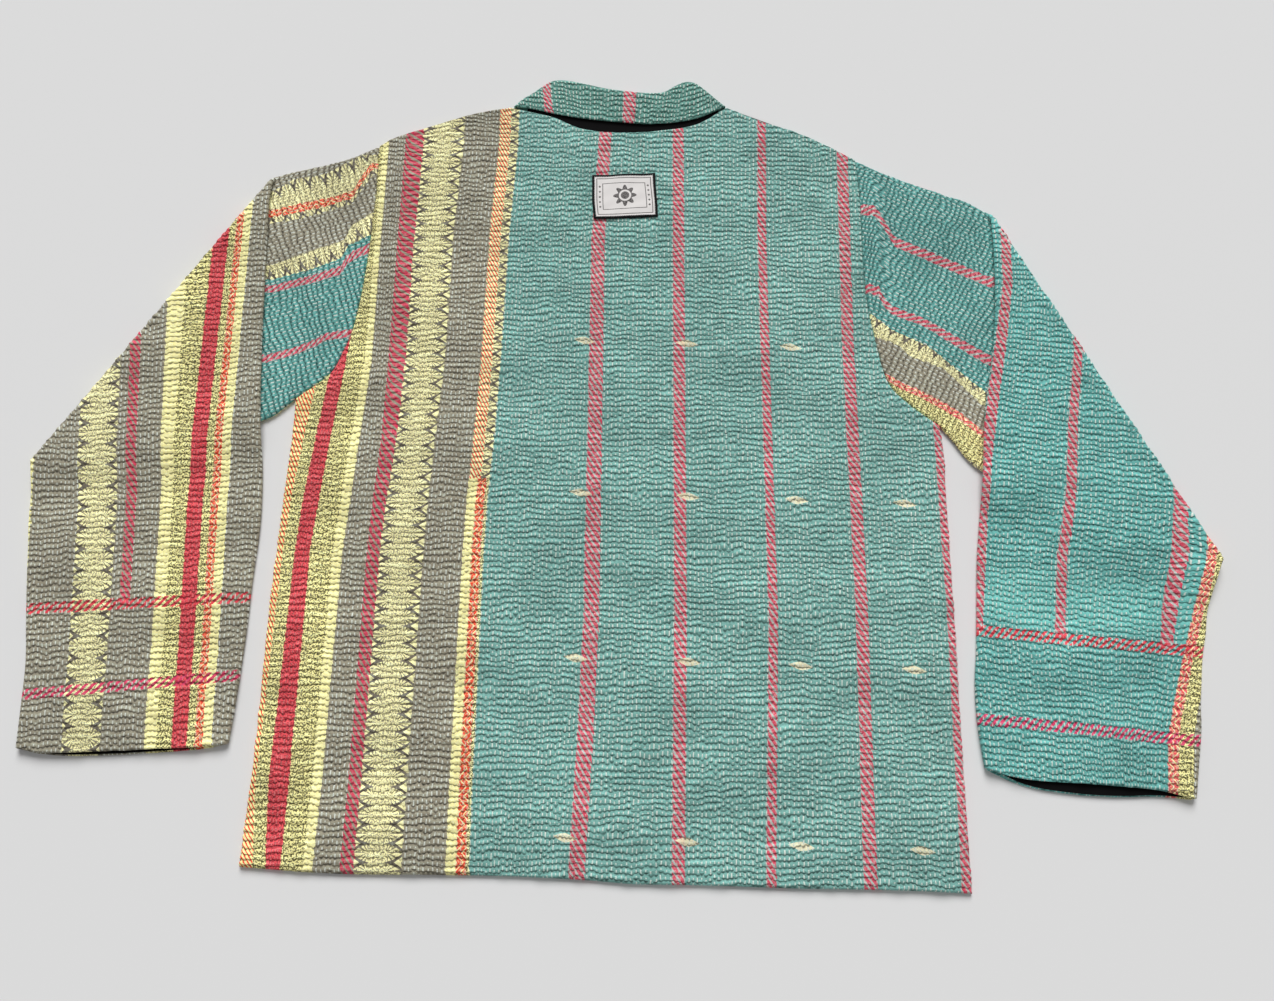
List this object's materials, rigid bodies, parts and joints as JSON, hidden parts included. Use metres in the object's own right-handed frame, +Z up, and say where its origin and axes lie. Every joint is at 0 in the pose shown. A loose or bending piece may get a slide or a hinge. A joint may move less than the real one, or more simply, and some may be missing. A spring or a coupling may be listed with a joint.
{
  "type": "quilted jacket",
  "caption": "Hand-quilted patchwork cotton jacket with a turned-down collar, laid face down with its sleeves folded over.",
  "frame": {"origin": "centre of the laid garment's box, on the surface that it rests on", "axes": "+X across the jacket towards the wearer's right sleeve, +Y from hem to collar, +Z up, out of the back"},
  "size_m": [1.0186, 0.7387, 0.0111],
  "materials": {
    "quilted_cotton_teal": "soft washed cotton, hand-quilted in running stitch, teal with pink-red stripes and small cream leaves",
    "quilted_cotton_striped": "soft washed cotton, hand-quilted in running stitch, in grey, yellow and red bands",
    "black_cotton": "plain matt black cotton",
    "woven_label": "cream cotton patch with an overcast black edge"
  },
  "bodies": {
    "root": {"back": "quilted_cotton_teal", "front_left": "quilted_cotton_striped", "front_right": "quilted_cotton_teal", "sleeve_left": "quilted_cotton_striped", "sleeve_right": "quilted_cotton_teal", "collar": "quilted_cotton_teal", "collar_stand": "black_cotton", "cuff_lining_left": "black_cotton", "cuff_lining_right": "black_cotton", "label": "woven_label"}
  },
  "joints": []
}
